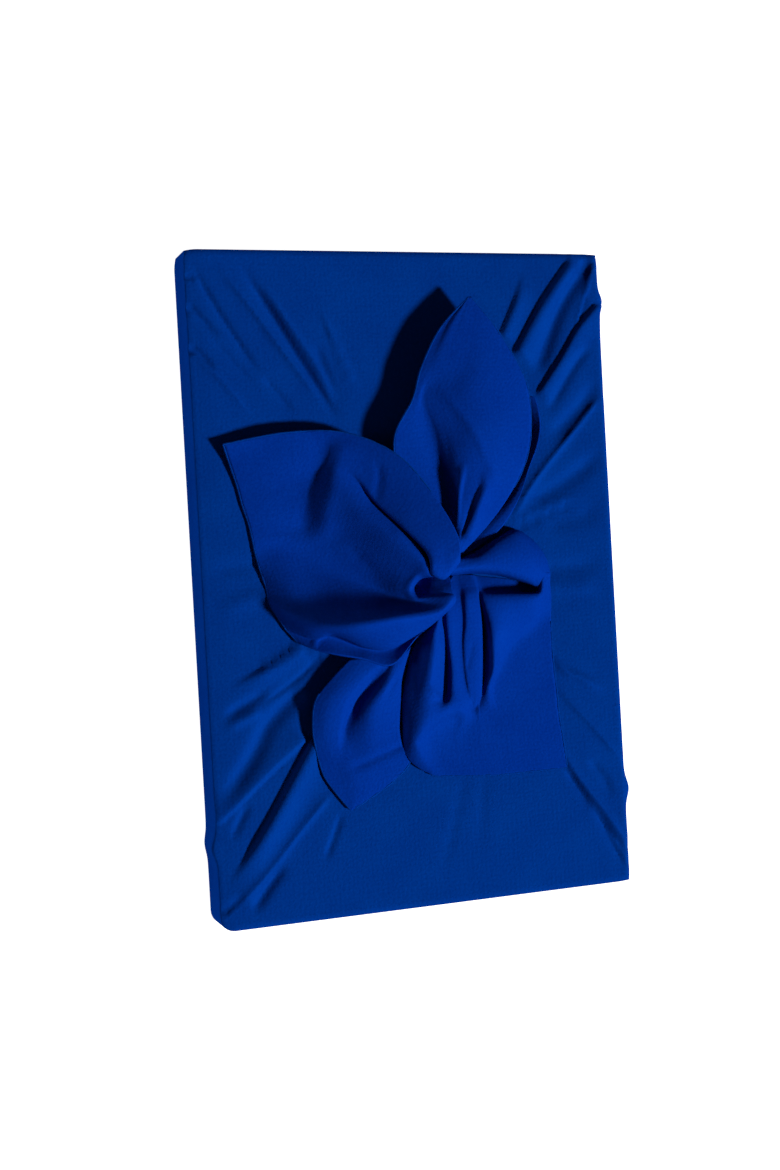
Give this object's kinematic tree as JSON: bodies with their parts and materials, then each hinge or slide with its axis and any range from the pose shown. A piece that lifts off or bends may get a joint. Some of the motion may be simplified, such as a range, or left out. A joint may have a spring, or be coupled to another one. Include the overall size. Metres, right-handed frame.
{
  "type": "furoshiki wrap on a flat box",
  "caption": "Square cloth folded over a flat box and tied on its face, its loose corners spread like petals around the knot.",
  "frame": {"origin": "centre of the flat underside, on the surface that the wrapped box lies on", "axes": "+X to the right of the tied face, +Y to its top, +Z out of the tied face"},
  "size_m": [0.2212, 0.326, 0.0547],
  "materials": {
    "cloth": "satin",
    "box": "matte"
  },
  "bodies": {
    "root": {"cloth": "cloth", "box": "box"}
  },
  "joints": []
}
